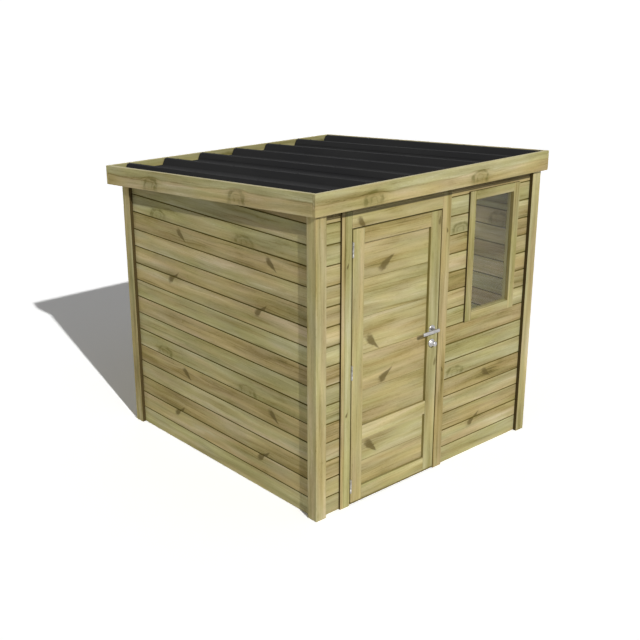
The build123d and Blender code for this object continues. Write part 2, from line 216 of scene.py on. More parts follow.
def makePineFigure(look):
    tree = bpy.data.node_groups.new("pineFigure", "ShaderNodeTree")
    ins, outs = sockets(
        tree,
        [
            ("Grain", "NodeSocketVector", None),  # along, across and into the timber
            ("Tone", "NodeSocketVector", None),  # seed, warmth, light
            ("Knot", "NodeSocketVector", None),  # place along, place across, size
            ("Form", "NodeSocketVector", None),  # slant of a spike or stretch of a burr, spike, burr
            ("Heart", "NodeSocketVector", None),  # level of the heartwood's edge, sway, strength
            ("Side", "NodeSocketFloat", 0.0),  # painted shade: one in joints, two in slots; painted highlight below zero
            ("Contrast", "NodeSocketFloat", 1.0),
            ("Light", "NodeSocketFloat", 1.0),
        ],
        [
            ("Color", "NodeSocketColor"),
            ("Roughness", "NodeSocketFloat"),
            ("Height", "NodeSocketFloat"),
        ],
    )

    def calc(operation, *values):
        return sumUp(tree, operation, *values)

    def offset(value, middle, share):  # how far a value lies from its middle, times a share
        return calc("MULTIPLY", calc("SUBTRACT", value, middle), share)

    def length(first, second):
        return calc("SQRT", calc("ADD", calc("POWER", first, 2.0), calc("POWER", second, 2.0)))

    def marks(name, spot, detail=2.0, roughness=0.5):
        return noise(tree, spot, look["stretch"][name], detail, roughness)

    seed, warmth, light = splitUp(tree, ins["Tone"])
    along, across, depth = splitUp(tree, ins["Grain"])
    spotAlong, spotAcross, spotSize = splitUp(tree, ins["Knot"])
    slant, spikeShare, burrShare = splitUp(tree, ins["Form"])
    place = vectorSum(tree, "ADD", ins["Grain"], scaleUp(tree, look["apart"]["timbers"], seed))

    # knots, repeated along the board: a spike that flares at one end, or the rings of a burr
    half = look["knotSpacing"] / 2
    fromKnot = calc("WRAP", calc("SUBTRACT", along, spotAlong), half, -half)
    besideKnot = calc("SUBTRACT", across, spotAcross)
    size = calc("MAXIMUM", spotSize, 0.01)
    ragged = calc("SUBTRACT", marks("ragged", place, 3.0), 0.5)
    cosine, sine = calc("COSINE", slant), calc("SINE", slant)
    long = calc("ADD", calc("MULTIPLY", fromKnot, sine), calc("MULTIPLY", besideKnot, cosine))
    wide = calc("SUBTRACT", calc("MULTIPLY", fromKnot, cosine), calc("MULTIPLY", besideKnot, sine))
    longShare = calc("DIVIDE", long, calc("MULTIPLY", size, look["knotLong"]))
    flare = ramp(tree, longShare, -1.0, 0.9, 1.15, 0.3)
    wideShare = calc("DIVIDE", calc("DIVIDE", wide, calc("MULTIPLY", size, look["knotWide"])), flare)
    reach = calc("ADD", length(longShare, wideShare), calc("MULTIPLY", ragged, 0.7))
    spike = calc("MULTIPLY", ramp(tree, reach, 0.55, 1.15, 1.0, 0.0), spikeShare)
    burrSize = calc("MULTIPLY", size, look["burrReach"])
    upShare = calc("DIVIDE", besideKnot, burrSize)
    sideShare = calc("DIVIDE", fromKnot, calc("MULTIPLY", burrSize, calc("MAXIMUM", slant, 0.2)))
    swirl = calc("SUBTRACT", marks("swirl", place), 0.5)
    arch = length(sideShare, calc("MAXIMUM", upShare, 0.0))  # a horseshoe, open below
    around = calc("ADD", arch, calc("MULTIPLY", swirl, 0.9))
    strokes = ramp(tree, marks("strokes", place), 0.34, 0.62, 0.45, 1.0)
    legs = ramp(tree, upShare, -1.7, -0.5)
    burrRing = calc("MULTIPLY", ramp(tree, around, 0.1, 0.5), ramp(tree, around, 0.9, 1.9, 1.0, 0.0))
    ripple = ramp(tree, calc("SINE", calc("MULTIPLY", around, 7.5)), -0.9, 0.6, 0.4, 1.0)
    burrRing = calc("MULTIPLY", calc("MULTIPLY", burrRing, ripple), calc("MULTIPLY", strokes, legs))
    smudge = calc("MULTIPLY", ramp(tree, around, 0.2, 2.2, 0.3, 0.0), legs)
    burr = calc("MULTIPLY", calc("MAXIMUM", burrRing, smudge), burrShare)
    halo = length(calc("DIVIDE", fromKnot, look["haloLong"]), calc("DIVIDE", besideKnot, look["haloWide"]))
    halo = calc("MULTIPLY", ramp(tree, halo, 0.05, 1.0, 1.0, 0.0), calc("MINIMUM", spotSize, 1.0))

    # the fibres wander, and swing round a knot
    drift = offset(marks("drift", place), 0.5, 0.06)
    drift = calc("ADD", drift, calc("MULTIPLY", calc("MULTIPLY", besideKnot, halo), -0.5))
    bent = vectorSum(tree, "ADD", place, joinUp(tree, y=drift))
    broad = marks("broad", bent, 1.0)
    bands = marks("bands", bent, 3.5, 0.55)
    streaks = marks("streaks", bent, 3.0)
    smudges = marks("smudges", bent)
    flecks = marks("flecks", bent)
    fibre = marks("fibre", bent, 2.0, 0.6)
    hue = marks("hue", vectorSum(tree, "ADD", bent, look["apart"]["hue"]))
    cast = marks("cast", vectorSum(tree, "ADD", place, look["apart"]["cast"]))

    # tan heartwood under a wavering dark line, on the timbers that show one
    heartLevel, heartSway, heartShare = splitUp(tree, ins["Heart"])
    wave = calc("SUBTRACT", marks("wave", place, 3.0), 0.5)
    crown = ramp(tree, calc("ABSOLUTE", sideShare), 0.5, 2.2, 0.016, 0.0)  # the line rises over a burr
    heartLine = calc("MULTIPLY_ADD", wave, heartSway, heartLevel)
    heartLine = calc("ADD", heartLine, calc("MULTIPLY", crown, burrShare))
    overHeart = calc("SUBTRACT", across, heartLine)
    heartTan = calc("MULTIPLY", ramp(tree, overHeart, -0.012, 0.012, 0.5, -0.5), heartShare)
    heartEdge = calc("MULTIPLY", ramp(tree, calc("ABSOLUTE", overHeart), 0.001, 0.009, 1.0, 0.0), heartShare)

    # growth rings about a pith that lies somewhere below the face
    pithSide = offset(calc("FRACT", calc("MULTIPLY", seed, 7.3)), 0.5, 0.12)
    pithDepth = calc("MULTIPLY_ADD", calc("FRACT", calc("MULTIPLY", seed, 3.1)), 0.03, 0.03)
    ringSide = calc("SUBTRACT", calc("ADD", across, drift), pithSide)
    ringCount = calc("DIVIDE", length(ringSide, calc("ADD", depth, pithDepth)), look["ringWidth"])
    rings = calc("FRACT", calc("ADD", ringCount, calc("MULTIPLY", broad, 4.0)))
    lateWood = calc("MULTIPLY", ramp(tree, rings, 0.4, 0.95), ramp(tree, smudges, 0.3, 0.6))

    figure = calc("ADD", offset(broad, 0.5, 0.85), offset(bands, 0.5, 0.95))
    figure = calc("ADD", figure, offset(fibre, 0.5, 0.22))
    dark = {
        "lateWood": lateWood,
        "streaks": ramp(tree, streaks, 0.54, 0.68),
        "smudges": ramp(tree, smudges, 0.58, 0.78),
        "halo": halo,
        "heartEdge": heartEdge,
        "flecks": ramp(tree, flecks, 0.58, 0.76),
        "paleFlecks": ramp(tree, flecks, 0.24, 0.42, 1.0, 0.0),
    }
    for name, share in look["darkening"].items():
        figure = calc("SUBTRACT", figure, calc("MULTIPLY", dark[name], share))
    figure = calc("MULTIPLY_ADD", figure, ins["Contrast"], look["level"])
    figure = calc("ADD", figure, offset(light, 0.5, 0.3))
    scale = addNode(tree, "ShaderNodeValToRGB", {0: figure})[0]
    stops = scale.node.color_ramp.elements
    while len(stops) < len(look["tones"]):
        stops.new(1.0)
    for stop, (position, colour) in zip(stops, look["tones"]):
        stop.position = position
        stop.color = colour
    warm = calc("ADD", calc("ADD", offset(warmth, 0.5, 1.0), 0.5), offset(hue, 0.5, 2.4))
    warm = calc("ADD", warm, heartTan)
    tint = blendColour(tree, warm, look["green"], look["tan"])
    colour = blendColour(tree, 1.0, scale, tint, "MULTIPLY")
    patches = blendColour(tree, ramp(tree, cast, 0.32, 0.68), look["yellow"], look["grey"])
    colour = blendColour(tree, 1.0, colour, patches, "MULTIPLY")
    colour = blendColour(tree, calc("MULTIPLY", burr, look["burrStrength"]), colour, look["burr"])
    colour = blendColour(tree, calc("MULTIPLY", spike, look["knotStrength"]), colour, look["knot"])
    colour = scaleUp(tree, colour, ins["Light"])
    # painted shade from Side in joints, gaps and slots, and painted highlight where Side is below zero
    colour = blendColour(tree, ins["Side"], colour, look["paintedShadeColour"])
    colour = blendColour(tree, calc("SUBTRACT", ins["Side"], 1.0), colour, look["gap"])
    colour = blendColour(tree, calc("MULTIPLY", ins["Side"], -1.0), colour, look["tones"][-1][1])

    height = calc("ADD", calc("MULTIPLY", fibre, 0.5), calc("MULTIPLY", bands, 0.5))
    height = calc("SUBTRACT", height, calc("MULTIPLY", lateWood, 0.2))
    roughness = ramp(tree, bands, 0.25, 0.75, 0.8, 0.64)
    feed(tree, outs, {"Color": colour, "Roughness": roughness, "Height": height})
    return tree


pineTree = makePineFigure(pine)


def makePine(name, contrast, light, eaves=None):
    material, tree, shader = newMaterial(name)
    values = {"Contrast": contrast, "Light": light}
    layers = ("grainPos", "boardTone", "knotSpot", "knotForm", "heartEdge")
    for layer, socket in zip(layers, ("Grain", "Tone", "Knot", "Form", "Heart")):
        values[socket] = addNode(tree, "ShaderNodeAttribute", attribute_name=layer)["Vector"]
    values["Side"] = addNode(tree, "ShaderNodeAttribute", attribute_name="sideShade")["Fac"]
    if eaves is not None:  # painted shade under the fascia, over its real shadow and below it
        place = splitUp(tree, objectPlace(tree))
        level = sumUp(tree, "MULTIPLY_ADD", place[1], roofSlope, place[2])
        below = sumUp(tree, "SUBTRACT", eavesLine, level)
        edge, foot = eaves["shadow"], eaves["paintedShade"]
        shares = (eaves["share"] * light, eaves["footShare"] * light)
        paintedShade = ramp(tree, below, edge - eavesSoft["edge"], edge + eavesSoft["edge"], *shares)
        unshaded = ramp(tree, below, foot, foot + eavesSoft["foot"], 0.0, light)
        values["Light"] = sumUp(tree, "MAXIMUM", paintedShade, unshaded)
    figure = addNode(tree, "ShaderNodeGroup", values, node_tree=pineTree)
    feed(tree, shader, {
        "Base Color": figure["Color"],
        "Roughness": figure["Roughness"],
        "Specular IOR Level": pine["gloss"],
        "Normal": relief(tree, pine["reliefStrength"], pine["reliefDepth"], figure["Height"]),
    })
    return material


postFront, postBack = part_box("corner_post_front_left"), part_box("corner_post_back_left")
roofSlope = (postFront[1].z - postBack[1].z) / (postBack[0].y - postFront[0].y)
plateLine = Vector((0, postFront[0].y, postFront[1].z))  # underside of the wall plates
plateNormal = Vector((0, roofSlope, 1)).normalized()
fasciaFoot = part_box("fascia_front")[0]
eavesLine = fasciaFoot.z + roofSlope * fasciaFoot.y
eavesSoft = {"edge": 0.0015, "foot": 0.01}  # how far the edge of the painted shadow and the foot of the painted shade fade
eavesPaintedShade = {  # painted shade under the fascia: how far the real shadow and the painted shade below it reach, and the share of light left in each
    "boards": {"shadow": 0.036, "paintedShade": 0.038, "share": 0.52, "footShare": 0.19},
    "sideBoards": {"shadow": 0.127, "paintedShade": 0.127, "share": 0.745, "footShare": 0.745},
    "joinery": {"shadow": 0.0245, "paintedShade": 0.0365, "share": 0.52, "footShare": 0.19},
}
# painted light: the side walls and the sides of posts and fascias take lighter copies of the same pine
boardPine = makePine("boardPine", contrast=1.1, light=0.96, eaves=eavesPaintedShade["boards"])
sideBoardPinePaintedLight = makePine("sideBoardPinePaintedLight", contrast=1.0, light=1.16, eaves=eavesPaintedShade["sideBoards"])
framePine = makePine("framePine", contrast=1.15, light=1.0)
sideFramePinePaintedLight = makePine("sideFramePinePaintedLight", contrast=1.15, light=1.13)
innerFasciaPinePaintedShade = makePine("innerFasciaPinePaintedShade", contrast=0.9, light=0.86)  # painted shade: a darker copy of the pine for the inner faces of the fascias, beside the roof sheets
joineryPine = makePine("joineryPine", contrast=1.0, light=1.03, eaves=eavesPaintedShade["joinery"])


# Other finishes

coated = {  # matt black coated roof sheet
    "dark": screenColour(58, 58, 59),
    "pale": screenColour(64, 64, 64),
    "clouds": (6.0, 1.2, 6.0),
    "grit": (620.0, 620.0, 620.0),
    "gritShare": 0.3,
    "gloss": 0.004,
    "rough": (0.7, 0.85),
    "reliefStrength": 0.25,
    "reliefDepth": 0.0006,
}
steels = {
    "satinSteel": {
        "bright": screenColour(186, 184, 183),
        "worn": screenColour(170, 169, 169),
        "grain": (900.0, 60.0, 900.0),
        "rough": (0.34, 0.5),
    },
    "zincSteel": {
        "bright": screenColour(182, 180, 176),
        "worn": screenColour(160, 157, 152),
        "grain": (130.0, 130.0, 130.0),
        "rough": (0.36, 0.54),
    },
}
steelWear = {"patches": (55.0, 55.0, 55.0), "reliefStrength": 0.12, "reliefDepth": 0.0003}
pane = {
    "dusty": screenColour(226, 230, 230),
    "clean": screenColour(236, 240, 240),
    "film": (3.0, 3.0, 9.0),
    "rough": (0.0, 0.02),
    "bend": 1.3,
    "gloss": 0.2,
    "shade": screenColour(236, 236, 234),  # of the light that falls through
}


def makeCoated():
    material, tree, shader = newMaterial("coatedSheet")
    clouds = noise(tree, objectPlace(tree), coated["clouds"], 3.0)
    grit = noise(tree, objectPlace(tree), coated["grit"])
    colour = blendColour(tree, ramp(tree, clouds, 0.3, 0.72), coated["dark"], coated["pale"])
    colour = blendColour(tree, ramp(tree, grit, 0.55, 0.8, 0.0, coated["gritShare"]), colour, coated["pale"])
    feed(tree, shader, {
        "Base Color": colour,
        "Roughness": ramp(tree, clouds, 0.25, 0.75, *coated["rough"]),
        "Specular IOR Level": coated["gloss"],
        "Normal": relief(tree, coated["reliefStrength"], coated["reliefDepth"], grit),
    })
    return material


def makeSteel(name):
    look = steels[name]
    material, tree, shader = newMaterial(name)
    brushed = noise(tree, objectPlace(tree), look["grain"], 3.0, 0.6)
    patches = noise(tree, objectPlace(tree), steelWear["patches"])
    feed(tree, shader, {
        "Base Color": blendColour(tree, ramp(tree, patches, 0.35, 0.7), look["bright"], look["worn"]),
        "Roughness": ramp(tree, brushed, 0.25, 0.75, *look["rough"]),
        "Metallic": 1.0,
        "Normal": relief(tree, steelWear["reliefStrength"], steelWear["reliefDepth"], brushed),
    })
    return material


def makePane():
    material, tree, shader = newMaterial("greyPane")
    film = noise(tree, objectPlace(tree), pane["film"], 3.0)
    feed(tree, shader, {
        "Base Color": blendColour(tree, ramp(tree, film, 0.3, 0.7), pane["dusty"], pane["clean"]),
        "Roughness": ramp(tree, film, 0.35, 0.7, *pane["rough"]),
        "Transmission Weight": 1.0,
        "IOR": pane["bend"],
        "Specular IOR Level": pane["gloss"],
    })
    clear = addNode(tree, "ShaderNodeBsdfTransparent", {"Color": pane["shade"]})[0]
    rays = addNode(tree, "ShaderNodeLightPath")
    passing = sumUp(tree, "MAXIMUM", rays["Is Shadow Ray"], rays["Is Diffuse Ray"])
    values = {0: passing, 1: tree.nodes["Principled BSDF"].outputs[0], 2: clear}
    mixed = addNode(tree, "ShaderNodeMixShader", values)[0]
    feed(tree, tree.nodes["Material Output"].inputs, {"Surface": mixed})
    return material


coatedSheet = makeCoated()
satinSteel = makeSteel("satinSteel")
zincSteel = makeSteel("zincSteel")
greyPane = makePane()
print("shed: finishes made")


# Pieces

def addPiece(name, mesh, body, slot, material, *stoodFor):
    piece = bpy.data.objects.new(name, mesh)
    scene.collection.objects.link(piece)
    if material is not None:
        mesh.materials.clear()
        mesh.materials.append(material)
    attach(piece, body)
    if stoodFor:
        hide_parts(*stoodFor)
    return piece


def setVectors(mesh, name, values):
    layer = mesh.attributes.get(name) or mesh.attributes.new(name, "FLOAT_VECTOR", "POINT")
    layer.data.foreach_set("vector", [number for value in values for number in value])


def runTree(tree, values, mesh=None):  # evaluates a node tree on a carrier and gives back a plain mesh
    carrier = bpy.data.objects.new("carrier", mesh or bpy.data.meshes.new("carrier"))
    scene.collection.objects.link(carrier)
    modifier = carrier.modifiers.new("making", "NODES")
    modifier.node_group = tree
    for item in tree.interface.items_tree:
        if item.in_out == "INPUT" and item.name in values:
            modifier[item.identifier] = values[item.name]
    shapes = bpy.context.evaluated_depsgraph_get()
    made = bpy.data.meshes.new_from_object(carrier.evaluated_get(shapes))
    carrier.modifiers.remove(modifier)
    bpy.data.objects.remove(carrier)
    return made


def storeLayer(tree, geometry, name, value, kind="FLOAT_VECTOR"):
    values = {"Geometry": geometry, "Name": name, "Value": value}
    return addNode(tree, "GeometryNodeStoreNamedAttribute", values, data_type=kind, domain="POINT")[0]


def readLayer(tree, name):
    return addNode(tree, "GeometryNodeInputNamedAttribute", {"Name": name}, data_type="FLOAT_VECTOR")[0]


def joinParts(tree, parts):
    joined = tree.nodes.new("GeometryNodeJoinGeometry")
    for part in parts:
        tree.links.new(part, joined.inputs[0])
    return joined.outputs[0]


def moved(tree, part, way):
    return addNode(tree, "GeometryNodeTransform", {"Geometry": part, "Translation": way})[0]


def layOut(tree, values):
    laid = addNode(tree, "GeometryNodeInstanceOnPoints", values)[0]
    return addNode(tree, "GeometryNodeRealizeInstances", {"Geometry": laid})[0]


def giveFinish(tree, geometry, finish):
    return addNode(tree, "GeometryNodeSetMaterial", {"Geometry": geometry, "Material": finish})[0]


# Boards: each field of a wall is a stack of tongued boards

wallBoards = {
    "pitch": 0.133,
    "gap": 0.007,
    "arris": 0.0022,
    "shoulder": 0.009,
    "tongue": 0.008,
    "slack": 0.0005,
    "wander": 0.0009,
    "knotChance": 0.5,
    "jointShade": 0.9,
    "jointStartShare": 0.6,  # of the arris, from where it takes the shade of the joint
}
panelBoards = dict(wallBoards, gap=0.0011, arris=0.0006, shoulder=0.006, tongue=0.006)
panelBoards.update(wander=0.0, knotChance=0.0)


def boardProfile(name, sizes, pitch, thickness):  # one end of a board, in the plane across its length
    half, low, high = thickness / 2, 0.0, pitch - sizes["gap"]
    cheek = half - sizes["shoulder"]
    slot = cheek + sizes["slack"]
    arris = sizes["arris"]
    tip = high + sizes["tongue"]
    root = max(low + sizes["tongue"] - sizes["gap"], low) + sizes["slack"]
    foot = [(-half + arris, low), (-slot, low), (-slot, root), (slot, root), (slot, low), (half - arris, low)]
    flank = [(half, low + arris), (half, high - arris), (half - arris, high), (cheek, high), (cheek, tip)]
    outline = foot + flank + [(-side, height) for side, height in reversed(flank)]
    mesh = bpy.data.meshes.new(name)
    mesh.from_pydata([(0, side, height) for side, height in outline], [], [list(range(len(outline)))])
    profile = bpy.data.objects.new(name, mesh)
    scene.collection.objects.link(profile)
    return profile


def makeBoardTree():
    tree = bpy.data.node_groups.new("boardField", "GeometryNodeTree")
    ins, outs = sockets(
        tree,
        [
            ("Geometry", "NodeSocketGeometry", None),
            ("Profile", "NodeSocketObject", None),
            ("Start", "NodeSocketFloat", 0.0),
            ("Length", "NodeSocketFloat", 1.0),
            ("Rows", "NodeSocketInt", 1),
            ("First Row", "NodeSocketInt", 0),
            ("Pitch", "NodeSocketFloat", 0.133),
            ("Wander", "NodeSocketFloat", 0.0),
            ("Knot Chance", "NodeSocketFloat", 0.5),
            ("Knot Spacing", "NodeSocketFloat", 1.0),
            ("Joint Depth", "NodeSocketFloat", 0.01),
            ("Joint Shade", "NodeSocketFloat", 1.0),
            ("Seed", "NodeSocketInt", 0),
            ("Finish", "NodeSocketMaterial", None),
        ],
        [("Geometry", "NodeSocketGeometry")],
    )

    def calc(operation, *values):
        return sumUp(tree, operation, *values)

    # one board, swept from its end
    end = addNode(tree, "GeometryNodeObjectInfo", {"Object": ins["Profile"]})["Geometry"]
    end = moved(tree, end, joinUp(tree, ins["Start"]))
    values = {"Mesh": end, "Offset": joinUp(tree, ins["Length"]), "Offset Scale": 1.0, "Individual": False}
    swept = addNode(tree, "GeometryNodeExtrudeMesh", values, mode="FACES")["Mesh"]
    board = joinParts(tree, (swept, addNode(tree, "GeometryNodeFlipFaces", {0: end})[0]))
    board = addNode(tree, "GeometryNodeMergeByDistance", {"Geometry": board, "Distance": 0.00001})[0]
    x, y, z = splitUp(tree, addNode(tree, "GeometryNodeInputPosition")[0])
    height = calc("SUBTRACT", z, calc("MULTIPLY", ins["Pitch"], 0.5))
    board = storeLayer(tree, board, "grainPos", joinUp(tree, x, height, y))

    # one point for each board, with its own tone and knots
    foot = joinUp(tree, z=calc("MULTIPLY", ins["Pitch"], ins["First Row"]))
    values = {"Count": ins["Rows"], "Start Location": foot, "Offset": joinUp(tree, z=ins["Pitch"])}
    rows = addNode(tree, "GeometryNodeMeshLine", values, mode="OFFSET")[0]
    number = calc("ADD", addNode(tree, "GeometryNodeInputIndex")[0], ins["First Row"])

    def draw(low, high, extra):
        values = {2: low, 3: high, "ID": number, "Seed": calc("ADD", ins["Seed"], extra)}
        return addNode(tree, "FunctionNodeRandomValue", values, data_type="FLOAT")[1]

    def chance(extra, share=1.0):
        return calc("LESS_THAN", draw(0.0, 1.0, extra), calc("MULTIPLY", ins["Knot Chance"], share))

    lift = joinUp(tree, z=calc("MULTIPLY", draw(-1.0, 1.0, 5), ins["Wander"]))
    rows = addNode(tree, "GeometryNodeSetPosition", {"Geometry": rows, "Offset": lift})[0]
    spot = joinUp(
        tree,
        calc("MULTIPLY", draw(0.0, 1.0, 3), ins["Knot Spacing"]),
        calc("MULTIPLY", draw(-0.25, 0.25, 4), ins["Pitch"]),
        calc("MULTIPLY", chance(2), draw(0.8, 1.15, 6)),
    )
    tone = joinUp(tree, draw(0.0, 1.0, 1), draw(0.0, 1.0, 7), draw(0.0, 1.0, 8))
    form = joinUp(tree, draw(-3.1, 3.1, 9), chance(10, 1.4), chance(11, 0.9))
    for layer, value in (("boardTone", tone), ("knotSpot", spot), ("knotForm", form)):
        rows = storeLayer(tree, rows, layer, value)
    rows = storeLayer(tree, rows, "rowNumber", number, "FLOAT")
    stack = layOut(tree, {"Points": rows, "Instance": board})
    depth = calc("ABSOLUTE", splitUp(tree, readLayer(tree, "grainPos"))[2])
    shade = calc("MULTIPLY", calc("LESS_THAN", depth, ins["Joint Depth"]), ins["Joint Shade"])
    stack = storeLayer(tree, stack, "sideShade", shade, "FLOAT")
    feed(tree, outs, {"Geometry": giveFinish(tree, stack, ins["Finish"])})
    return tree


boardTree = makeBoardTree()


bareKnot = (0.0,) * 6  # place along, place across, size, slant, share of a spike, share of a burr


def sortBoards(mesh, tones, knots):  # warmth and light of each row, and the place, size and form of its knot
    count = len(mesh.vertices)
    rows = [0.0] * count
    mesh.attributes["rowNumber"].data.foreach_get("value", rows)
    rows = [round(row) % len(tones) for row in rows]
    drawn = [0.0] * count * 3
    mesh.attributes["boardTone"].data.foreach_get("vector", drawn)
    setVectors(mesh, "boardTone", [(seed, *tones[row]) for seed, row in zip(drawn[::3], rows)])
    if knots:
        setVectors(mesh, "knotSpot", [knots.get(row, bareKnot)[:3] for row in rows])
        setVectors(mesh, "knotForm", [knots.get(row, bareKnot)[3:] for row in rows])


def stackBoards(profile, sizes, pitch, thickness, span, rows, seed, material):
    return runTree(boardTree, {
        "Profile": profile,
        "Start": span[0],
        "Length": span[1] - span[0],
        "Rows": rows[1] - rows[0],
        "First Row": rows[0],
        "Pitch": pitch,
        "Wander": sizes["wander"],
        "Knot Chance": sizes["knotChance"],
        "Knot Spacing": pine["knotSpacing"],
        "Joint Depth": thickness / 2 - sizes["arris"] * sizes["jointStartShare"],
        "Joint Shade": sizes["jointShade"],
        "Seed": seed,
        "Finish": material,
    })


def settle(meshes, turn, place, cutPoint, cutNormal):  # joins fields, sets them in place and cuts their tops
    shell = bmesh.new()
    for mesh in meshes:
        shell.from_mesh(mesh)
    move = Matrix.Translation(place) @ Matrix.Rotation(math.radians(turn), 4, "Z")
    bmesh.ops.transform(shell, matrix=move, verts=shell.verts)
    everything = shell.verts[:] + shell.edges[:] + shell.faces[:]
    cut = bmesh.ops.bisect_plane(
        shell, geom=everything, plane_co=cutPoint, plane_no=cutNormal, clear_outer=True
    )
    rims = [item for item in cut["geom_cut"] if isinstance(item, bmesh.types.BMEdge)]
    bmesh.ops.edgeloop_fill(shell, edges=rims)
    shell.to_mesh(meshes[0])
    shell.free()
    for mesh in meshes[1:]:
        bpy.data.meshes.remove(mesh)
    return meshes[0]


wallTones = (  # boards from one log come round again every eight rows
    (0.1, 0.7), (0.75, 0.68), (0.72, 0.33), (0.5, 0.78), (0.9, 0.05), (0.2, 0.54), (0.12, 0.58), (0.95, 0.4),
)
wallKnots = {
    "left_wall": {
        1: (-0.46, 0.055, 1.1, 0.85, 1.0, 0.0),
        2: (-0.43, -0.072, 1.1, 0.85, 1.0, 0.0),
        4: (-0.327, -0.004, 1.1, 2.22, 1.0, 0.0),
        5: (-0.61, -0.032, 0.62, 2.6, 0.0, 1.0),
    },
    "front_wall": {
        1: (0.49, 0.055, 1.1, 0.85, 1.0, 0.0),
        2: (0.52, -0.072, 1.1, 0.85, 1.0, 0.0),
        4: (0.628, -0.004, 1.05, 2.22, 1.0, 0.0),
        5: (0.265, -0.03, 0.62, 2.6, 0.0, 1.0),
    },
}
wallSeeds = {"left_wall": 21, "right_wall": 34, "back_wall": 55, "front_wall": 7}


def makeWalls():
    pitch = wallBoards["pitch"]
    low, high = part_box("left_wall")
    thickness = high.x - low.x
    profile = boardProfile("boardEnd", wallBoards, pitch, thickness)
    allRows = math.ceil(plateLine.z / pitch)

    def field(span, rows, wall, material):
        mesh = stackBoards(profile, wallBoards, pitch, thickness, span, rows, wallSeeds[wall], material)
        sortBoards(mesh, wallTones, wallKnots.get(wall))
        return mesh

    for name, turn in (("left_wall", -90), ("right_wall", 90), ("back_wall", 180)):
        low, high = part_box(name)
        middle = (low + high) / 2
        if name == "back_wall":
            span = (-high.x, -low.x)
            place = Vector((0, middle.y, 0))
        else:
            sign = math.copysign(1, turn)
            span = tuple(sorted((sign * low.y, sign * high.y)))
            place = Vector((middle.x, 0, 0))
        boards = field(span, (0, allRows), name, boardPine if name == "back_wall" else sideBoardPinePaintedLight)
        mesh = settle([boards], turn, place, plateLine, plateNormal)
        addPiece(name + "Boards", mesh, "shed", "wall_boards", None, name)

    leftLow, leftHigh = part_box("front_wall_left")
    place = Vector((0, (leftLow.y + leftHigh.y) / 2, 0))
    boards = field((leftLow.x, leftHigh.x), (0, allRows), "front_wall", boardPine)
    mesh = settle([boards], 0, place, plateLine, plateNormal)
    addPiece("frontBoardsByPost", mesh, "shed", "wall_boards", None, "front_wall_left")

    middleLow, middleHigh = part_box("front_wall_middle")
    rightLow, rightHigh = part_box("front_wall_right")
    sillRow = round(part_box("window_rail_bottom")[0].z / pitch)
    headRow = round(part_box("window_rail_top")[1].z / pitch)
    spans = (
        ((middleLow.x, rightHigh.x), (0, sillRow)),
        ((middleLow.x, middleHigh.x), (sillRow, headRow)),
        ((rightLow.x, rightHigh.x), (sillRow, headRow)),
        ((middleLow.x, rightHigh.x), (headRow, allRows)),
    )
    fields = [field(span, rows, "front_wall", boardPine) for span, rows in spans]
    mesh = settle(fields, 0, place, plateLine, plateNormal)
    replaced = ("front_wall_middle", "front_wall_under_window", "front_wall_over_window", "front_wall_right")
    addPiece("frontBoardsByDoor", mesh, "shed", "wall_boards", None, *replaced)
    bpy.data.objects.remove(profile)


makeWalls()
print("shed: wall boards laid")


panelTones = {  # rows from the foot of each panel
    "door_panel_bottom": ((0.6, 0.5), (0.45, 0.55)),
    "door_panel_top": ((0.45, 0.5), (0.7, 0.52), (0.5, 0.5), (0.3, 0.55), (0.6, 0.52)),
}
panelKnots = {
    "door_panel_bottom": {1: (-0.567, -0.01, 1.35, 2.35, 1.0, 0.0)},
    "door_panel_top": {
        1: (-0.444, -0.075, 1.3, 1.0, 1.0, 0.0),
        2: (-0.57, -0.062, 1.35, 2.35, 1.0, 0.0),
        4: (-0.45, -0.052, 1.4, 1.0, 1.0, 0.0),
    },
}
panelSeeds = {"door_panel_bottom": 91, "door_panel_top": 64}


def makePanels():
    for name, seed in panelSeeds.items():
        rows = len(panelTones[name])
        low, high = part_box(name)
        pitch = (high.z - low.z) / rows
        thickness = high.y - low.y
        profile = boardProfile("panelEnd", panelBoards, pitch, thickness)
        span = (low.x, high.x)
        boards = stackBoards(profile, panelBoards, pitch, thickness, span, (0, rows), seed, joineryPine)
        sortBoards(boards, panelTones[name], panelKnots[name])
        place = Vector((0, (low.y + high.y) / 2, low.z))
        mesh = settle([boards], 0, place, high, Vector((0, 0, 1)))
        addPiece(name + "Boards", mesh, "door", "door_and_window", None, name)
        bpy.data.objects.remove(profile)


makePanels()
print("shed: door panels boarded")


# Planed timbers: the CAD form with eased edges, and grain along its length

